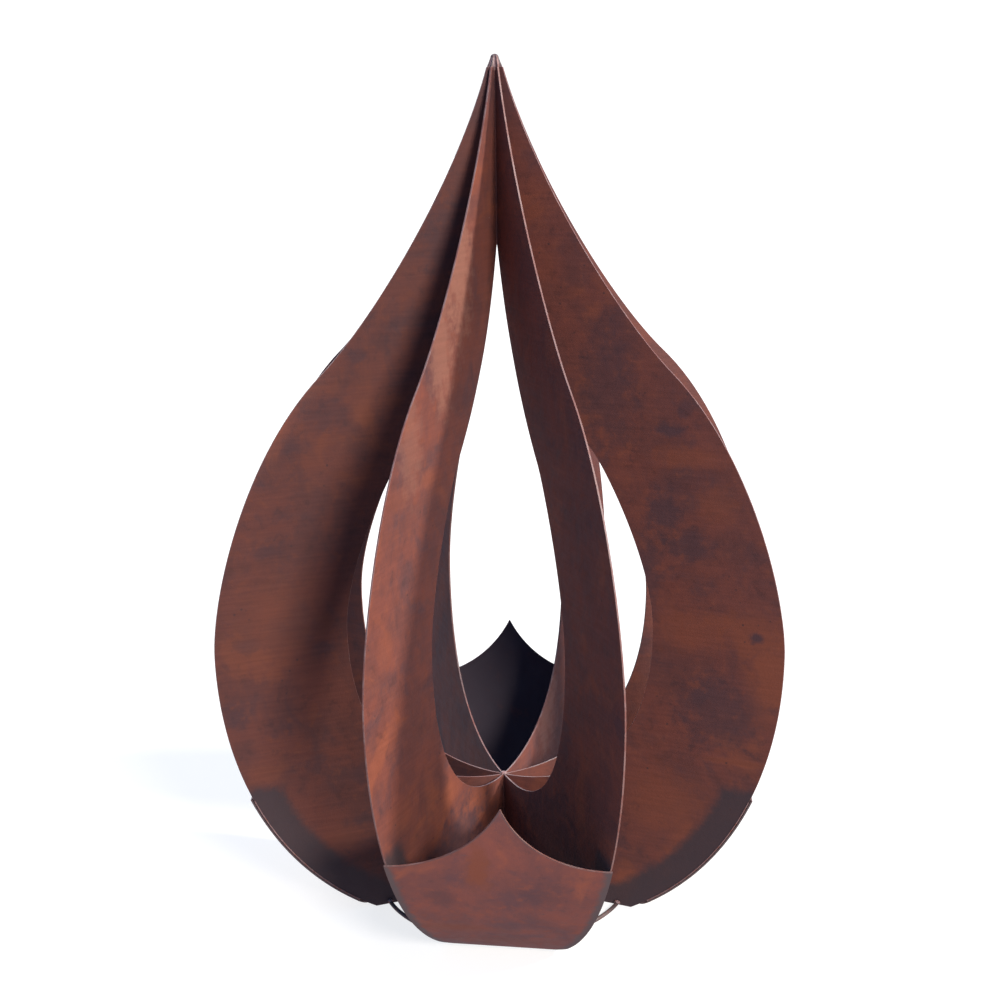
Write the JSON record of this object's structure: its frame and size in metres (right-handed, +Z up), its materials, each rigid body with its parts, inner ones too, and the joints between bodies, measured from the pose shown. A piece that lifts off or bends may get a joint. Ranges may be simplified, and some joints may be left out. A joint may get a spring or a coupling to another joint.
{
  "type": "teardrop garden sculpture",
  "caption": "Rusted steel teardrop garden sculpture: folded sheet petals form radial fins around a hollow middle, with ogee-topped foot plates and a rod ring at the ground.",
  "frame": {"origin": "on the ground, straight below the tip", "axes": "+Z up through the tip; -Y through the middle of the front petal, between its two fins"},
  "size_m": [0.6432, 0.648, 1.004],
  "materials": {
    "rusted_sheet": "weathering steel sheet with an even dry rust patina, matt red-brown with purple-brown shade",
    "brushed_rust_sheet": "rusted steel sheet, lightly wire-brushed along its welded edges, satin",
    "rusted_rod": "dark rusted round bar, matt",
    "weld_bead": "ground weld metal under a thin rust film"
  },
  "bodies": {
    "root": {"petal_front": "rusted_sheet", "petal_right": "rusted_sheet", "petal_back": "rusted_sheet", "petal_left": "rusted_sheet", "foot_plate_front": "brushed_rust_sheet", "foot_plate_right": "brushed_rust_sheet", "foot_plate_back": "brushed_rust_sheet", "foot_plate_left": "brushed_rust_sheet", "base_ring": "rusted_rod", "hub_weld": "weld_bead", "tip_weld": "weld_bead"}
  },
  "joints": []
}
